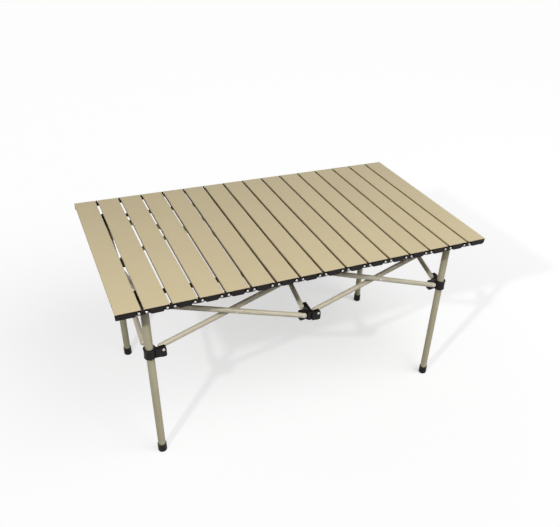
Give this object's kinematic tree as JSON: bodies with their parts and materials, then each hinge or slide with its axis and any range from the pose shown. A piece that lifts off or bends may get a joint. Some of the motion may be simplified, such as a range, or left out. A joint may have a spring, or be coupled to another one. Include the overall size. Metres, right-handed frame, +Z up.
{
  "type": "folding camp table",
  "caption": "Low folding camp table: a roll-up top of hinged metal slats on a round-tube scissor frame with sliding collars and capped feet.",
  "frame": {"origin": "on the floor, under the middle of the tabletop", "axes": "+X along the table's length, +Y from the front edge to the rear edge, +Z up"},
  "size_m": [0.95, 0.55, 0.49],
  "materials": {
    "slat_paint": "satin sand-coloured powder coat",
    "tube_paint": "satin sand-coloured enamel",
    "black_moulding": "fine-grained black nylon",
    "rivet_steel": "plated steel"
  },
  "bodies": {
    "middle_bracket_front": {"middle_bracket_front": "black_moulding"},
    "middle_bracket_rear": {"middle_bracket_rear": "black_moulding"},
    "hub_front": {"hub_front": "black_moulding"},
    "hub_rear": {"hub_rear": "black_moulding"},
    "leg_front_left": {"leg_tube_front_left": "tube_paint", "leg_bracket_front_left": "black_moulding", "foot_front_left": "black_moulding"},
    "collar_front_left": {"collar_front_left": "black_moulding"},
    "front_left_rising_bar": {"front_left_rising_bar": "tube_paint", "front_left_rivet": "rivet_steel"},
    "front_left_falling_bar": {"front_left_falling_bar": "tube_paint"},
    "leg_front_right": {"leg_tube_front_right": "tube_paint", "leg_bracket_front_right": "black_moulding", "foot_front_right": "black_moulding"},
    "collar_front_right": {"collar_front_right": "black_moulding"},
    "front_right_rising_bar": {"front_right_rising_bar": "tube_paint", "front_right_rivet": "rivet_steel"},
    "front_right_falling_bar": {"front_right_falling_bar": "tube_paint"},
    "leg_rear_left": {"leg_tube_rear_left": "tube_paint", "leg_bracket_rear_left": "black_moulding", "foot_rear_left": "black_moulding"},
    "collar_rear_left": {"collar_rear_left": "black_moulding"},
    "rear_left_rising_bar": {"rear_left_rising_bar": "tube_paint", "rear_left_rivet": "rivet_steel"},
    "rear_left_falling_bar": {"rear_left_falling_bar": "tube_paint"},
    "leg_rear_right": {"leg_tube_rear_right": "tube_paint", "leg_bracket_rear_right": "black_moulding", "foot_rear_right": "black_moulding"},
    "collar_rear_right": {"collar_rear_right": "black_moulding"},
    "rear_right_rising_bar": {"rear_right_rising_bar": "tube_paint", "rear_right_rivet": "rivet_steel"},
    "rear_right_falling_bar": {"rear_right_falling_bar": "tube_paint"},
    "left_front_high_bar": {"left_front_high_bar": "tube_paint", "left_rivet": "rivet_steel"},
    "left_rear_high_bar": {"left_rear_high_bar": "tube_paint"},
    "middle_front_high_bar": {"middle_front_high_bar": "tube_paint", "middle_rivet": "rivet_steel"},
    "middle_rear_high_bar": {"middle_rear_high_bar": "tube_paint"},
    "right_front_high_bar": {"right_front_high_bar": "tube_paint", "right_rivet": "rivet_steel"},
    "right_rear_high_bar": {"right_rear_high_bar": "tube_paint"},
    "slat_01": {"slat_01": "slat_paint"},
    "slat_02": {"slat_02": "slat_paint"},
    "slat_03": {"slat_03": "slat_paint"},
    "slat_04": {"slat_04": "slat_paint"},
    "slat_05": {"slat_05": "slat_paint"},
    "slat_06": {"slat_06": "slat_paint"},
    "slat_07": {"slat_07": "slat_paint"},
    "slat_08": {"slat_08": "slat_paint"},
    "slat_09": {"slat_09": "slat_paint"},
    "slat_10": {"slat_10": "slat_paint"},
    "slat_11": {"slat_11": "slat_paint"},
    "slat_12": {"slat_12": "slat_paint"},
    "slat_13": {"slat_13": "slat_paint"},
    "slat_14": {"slat_14": "slat_paint"},
    "slat_15": {"slat_15": "slat_paint"},
    "slat_16": {"slat_16": "slat_paint"}
  },
  "joints": [
    {"name": "fold", "type": "hinge", "parent": "middle_bracket_front", "child": "front_left_rising_bar", "pos_m": [-0.02, -0.213, 0.454], "axis": [0, -1, 0], "range_deg": [0, 64]},
    {"name": "middle_front_high_bar_turn", "type": "hinge", "parent": "middle_bracket_front", "child": "middle_front_high_bar", "pos_m": [0, -0.178, 0.454], "axis": [-1, 0, 0], "range_deg": [0, 64]},
    {"name": "middle_rear_high_bar_turn", "type": "hinge", "parent": "middle_front_high_bar", "child": "middle_rear_high_bar", "pos_m": [0, 0, 0.3935], "axis": [1, 0, 0], "range_deg": [0, 128]},
    {"name": "middle_bracket_rear_turn", "type": "hinge", "parent": "middle_rear_high_bar", "child": "middle_bracket_rear", "pos_m": [0, 0.178, 0.454], "axis": [-1, 0, 0], "range_deg": [0, 64]},
    {"name": "front_left_falling_bar_turn", "type": "hinge", "parent": "front_left_rising_bar", "child": "front_left_falling_bar", "pos_m": [-0.198, -0.213, 0.3935], "axis": [0, 1, 0], "range_deg": [0, 128]},
    {"name": "collar_front_left_turn", "type": "hinge", "parent": "front_left_rising_bar", "child": "collar_front_left", "pos_m": [-0.376, -0.213, 0.333], "axis": [0, 1, 0], "range_deg": [0, 64]},
    {"name": "leg_front_left_turn", "type": "hinge", "parent": "front_left_falling_bar", "child": "leg_front_left", "pos_m": [-0.376, -0.213, 0.454], "axis": [0, -1, 0], "range_deg": [0, 64]},
    {"name": "front_right_rising_bar_turn", "type": "hinge", "parent": "middle_bracket_front", "child": "front_right_rising_bar", "pos_m": [0.02, -0.213, 0.454], "axis": [0, 1, 0], "range_deg": [0, 64]},
    {"name": "front_right_falling_bar_turn", "type": "hinge", "parent": "front_right_rising_bar", "child": "front_right_falling_bar", "pos_m": [0.198, -0.213, 0.3935], "axis": [0, -1, 0], "range_deg": [0, 128]},
    {"name": "collar_front_right_turn", "type": "hinge", "parent": "front_right_rising_bar", "child": "collar_front_right", "pos_m": [0.376, -0.213, 0.333], "axis": [0, -1, 0], "range_deg": [0, 64]},
    {"name": "leg_front_right_turn", "type": "hinge", "parent": "front_right_falling_bar", "child": "leg_front_right", "pos_m": [0.376, -0.213, 0.454], "axis": [0, 1, 0], "range_deg": [0, 64]},
    {"name": "rear_left_rising_bar_turn", "type": "hinge", "parent": "middle_bracket_rear", "child": "rear_left_rising_bar", "pos_m": [-0.02, 0.213, 0.454], "axis": [0, -1, 0], "range_deg": [0, 64]},
    {"name": "rear_left_falling_bar_turn", "type": "hinge", "parent": "rear_left_rising_bar", "child": "rear_left_falling_bar", "pos_m": [-0.198, 0.213, 0.3935], "axis": [0, 1, 0], "range_deg": [0, 128]},
    {"name": "collar_rear_left_turn", "type": "hinge", "parent": "rear_left_rising_bar", "child": "collar_rear_left", "pos_m": [-0.376, 0.213, 0.333], "axis": [0, 1, 0], "range_deg": [0, 64]},
    {"name": "leg_rear_left_turn", "type": "hinge", "parent": "rear_left_falling_bar", "child": "leg_rear_left", "pos_m": [-0.376, 0.213, 0.454], "axis": [0, -1, 0], "range_deg": [0, 64]},
    {"name": "rear_right_rising_bar_turn", "type": "hinge", "parent": "middle_bracket_rear", "child": "rear_right_rising_bar", "pos_m": [0.02, 0.213, 0.454], "axis": [0, 1, 0], "range_deg": [0, 64]},
    {"name": "rear_right_falling_bar_turn", "type": "hinge", "parent": "rear_right_rising_bar", "child": "rear_right_falling_bar", "pos_m": [0.198, 0.213, 0.3935], "axis": [0, -1, 0], "range_deg": [0, 128]},
    {"name": "collar_rear_right_turn", "type": "hinge", "parent": "rear_right_rising_bar", "child": "collar_rear_right", "pos_m": [0.376, 0.213, 0.333], "axis": [0, -1, 0], "range_deg": [0, 64]},
    {"name": "leg_rear_right_turn", "type": "hinge", "parent": "rear_right_falling_bar", "child": "leg_rear_right", "pos_m": [0.376, 0.213, 0.454], "axis": [0, 1, 0], "range_deg": [0, 64]},
    {"name": "hub_front_turn", "type": "hinge", "parent": "front_left_falling_bar", "child": "hub_front", "pos_m": [-0.02, -0.213, 0.333], "axis": [0, -1, 0], "range_deg": [0, 64]},
    {"name": "hub_rear_turn", "type": "hinge", "parent": "middle_front_high_bar", "child": "hub_rear", "pos_m": [0, 0.178, 0.333], "axis": [1, 0, 0], "range_deg": [0, 64]},
    {"name": "left_rear_high_bar_turn", "type": "hinge", "parent": "collar_front_left", "child": "left_rear_high_bar", "pos_m": [-0.406, -0.178, 0.333], "axis": [1, 0, 0], "range_deg": [0, 64]},
    {"name": "left_front_high_bar_turn", "type": "hinge", "parent": "leg_front_left", "child": "left_front_high_bar", "pos_m": [-0.406, -0.178, 0.454], "axis": [-1, 0, 0], "range_deg": [0, 64]},
    {"name": "right_rear_high_bar_turn", "type": "hinge", "parent": "collar_front_right", "child": "right_rear_high_bar", "pos_m": [0.406, -0.178, 0.333], "axis": [1, 0, 0], "range_deg": [0, 64]},
    {"name": "right_front_high_bar_turn", "type": "hinge", "parent": "leg_front_right", "child": "right_front_high_bar", "pos_m": [0.406, -0.178, 0.454], "axis": [-1, 0, 0], "range_deg": [0, 64]},
    {"name": "top_lift", "type": "slide", "parent": "middle_bracket_front", "child": "slat_08", "axis": [0, 0, 1], "range_m": [0, 0.8]},
    {"name": "roll_09", "type": "hinge", "parent": "slat_08", "child": "slat_09", "pos_m": [0.008, 0, 0.48], "axis": [0, 1, 0], "range_deg": [0, 22.01]},
    {"name": "roll_10", "type": "hinge", "parent": "slat_09", "child": "slat_10", "pos_m": [0.06772, 0, 0.48], "axis": [0, 1, 0], "range_deg": [0, 22.01]},
    {"name": "roll_11", "type": "hinge", "parent": "slat_10", "child": "slat_11", "pos_m": [0.12744, 0, 0.48], "axis": [0, 1, 0], "range_deg": [0, 22.01]},
    {"name": "roll_12", "type": "hinge", "parent": "slat_11", "child": "slat_12", "pos_m": [0.18716, 0, 0.48], "axis": [0, 1, 0], "range_deg": [0, 22.01]},
    {"name": "roll_13", "type": "hinge", "parent": "slat_12", "child": "slat_13", "pos_m": [0.24688, 0, 0.48], "axis": [0, 1, 0], "range_deg": [0, 22.01]},
    {"name": "roll_14", "type": "hinge", "parent": "slat_13", "child": "slat_14", "pos_m": [0.30659, 0, 0.48], "axis": [0, 1, 0], "range_deg": [0, 22.01]},
    {"name": "roll_15", "type": "hinge", "parent": "slat_14", "child": "slat_15", "pos_m": [0.36631, 0, 0.48], "axis": [0, 1, 0], "range_deg": [0, 22.01]},
    {"name": "roll_16", "type": "hinge", "parent": "slat_15", "child": "slat_16", "pos_m": [0.42603, 0, 0.48], "axis": [0, 1, 0], "range_deg": [0, 22.01]},
    {"name": "roll_07", "type": "hinge", "parent": "slat_08", "child": "slat_07", "pos_m": [-0.05172, 0, 0.48], "axis": [0, -1, 0], "range_deg": [0, 22.01]},
    {"name": "roll_06", "type": "hinge", "parent": "slat_07", "child": "slat_06", "pos_m": [-0.11144, 0, 0.48], "axis": [0, -1, 0], "range_deg": [0, 22.01]},
    {"name": "roll_05", "type": "hinge", "parent": "slat_06", "child": "slat_05", "pos_m": [-0.17116, 0, 0.48], "axis": [0, -1, 0], "range_deg": [0, 22.01]},
    {"name": "roll_04", "type": "hinge", "parent": "slat_05", "child": "slat_04", "pos_m": [-0.23087, 0, 0.48], "axis": [0, -1, 0], "range_deg": [0, 22.01]},
    {"name": "roll_03", "type": "hinge", "parent": "slat_04", "child": "slat_03", "pos_m": [-0.29059, 0, 0.48], "axis": [0, -1, 0], "range_deg": [0, 22.01]},
    {"name": "roll_02", "type": "hinge", "parent": "slat_03", "child": "slat_02", "pos_m": [-0.35031, 0, 0.48], "axis": [0, -1, 0], "range_deg": [0, 22.01]},
    {"name": "roll_01", "type": "hinge", "parent": "slat_02", "child": "slat_01", "pos_m": [-0.41003, 0, 0.48], "axis": [0, -1, 0], "range_deg": [0, 22.01]}
  ],
  "couplings": [
    {"joint": "middle_front_high_bar_turn", "follows": "fold", "ratio": 1},
    {"joint": "middle_rear_high_bar_turn", "follows": "fold", "ratio": 2},
    {"joint": "middle_bracket_rear_turn", "follows": "fold", "ratio": 1},
    {"joint": "front_left_falling_bar_turn", "follows": "fold", "ratio": 2},
    {"joint": "collar_front_left_turn", "follows": "fold", "ratio": 1},
    {"joint": "leg_front_left_turn", "follows": "fold", "ratio": 1},
    {"joint": "front_right_rising_bar_turn", "follows": "fold", "ratio": 1},
    {"joint": "front_right_falling_bar_turn", "follows": "fold", "ratio": 2},
    {"joint": "collar_front_right_turn", "follows": "fold", "ratio": 1},
    {"joint": "leg_front_right_turn", "follows": "fold", "ratio": 1},
    {"joint": "rear_left_rising_bar_turn", "follows": "fold", "ratio": 1},
    {"joint": "rear_left_falling_bar_turn", "follows": "fold", "ratio": 2},
    {"joint": "collar_rear_left_turn", "follows": "fold", "ratio": 1},
    {"joint": "leg_rear_left_turn", "follows": "fold", "ratio": 1},
    {"joint": "rear_right_rising_bar_turn", "follows": "fold", "ratio": 1},
    {"joint": "rear_right_falling_bar_turn", "follows": "fold", "ratio": 2},
    {"joint": "collar_rear_right_turn", "follows": "fold", "ratio": 1},
    {"joint": "leg_rear_right_turn", "follows": "fold", "ratio": 1},
    {"joint": "hub_front_turn", "follows": "fold", "ratio": 1},
    {"joint": "hub_rear_turn", "follows": "fold", "ratio": 1},
    {"joint": "left_rear_high_bar_turn", "follows": "fold", "ratio": 1},
    {"joint": "left_front_high_bar_turn", "follows": "fold", "ratio": 1},
    {"joint": "right_rear_high_bar_turn", "follows": "fold", "ratio": 1},
    {"joint": "right_front_high_bar_turn", "follows": "fold", "ratio": 1},
    {"joint": "roll_09", "follows": "top_lift", "rad_per_m": 0.47997},
    {"joint": "roll_10", "follows": "top_lift", "rad_per_m": 0.47997},
    {"joint": "roll_11", "follows": "top_lift", "rad_per_m": 0.47997},
    {"joint": "roll_12", "follows": "top_lift", "rad_per_m": 0.47997},
    {"joint": "roll_13", "follows": "top_lift", "rad_per_m": 0.47997},
    {"joint": "roll_14", "follows": "top_lift", "rad_per_m": 0.47997},
    {"joint": "roll_15", "follows": "top_lift", "rad_per_m": 0.47997},
    {"joint": "roll_16", "follows": "top_lift", "rad_per_m": 0.47997},
    {"joint": "roll_07", "follows": "top_lift", "rad_per_m": 0.47997},
    {"joint": "roll_06", "follows": "top_lift", "rad_per_m": 0.47997},
    {"joint": "roll_05", "follows": "top_lift", "rad_per_m": 0.47997},
    {"joint": "roll_04", "follows": "top_lift", "rad_per_m": 0.47997},
    {"joint": "roll_03", "follows": "top_lift", "rad_per_m": 0.47997},
    {"joint": "roll_02", "follows": "top_lift", "rad_per_m": 0.47997},
    {"joint": "roll_01", "follows": "top_lift", "rad_per_m": 0.47997}
  ]
}
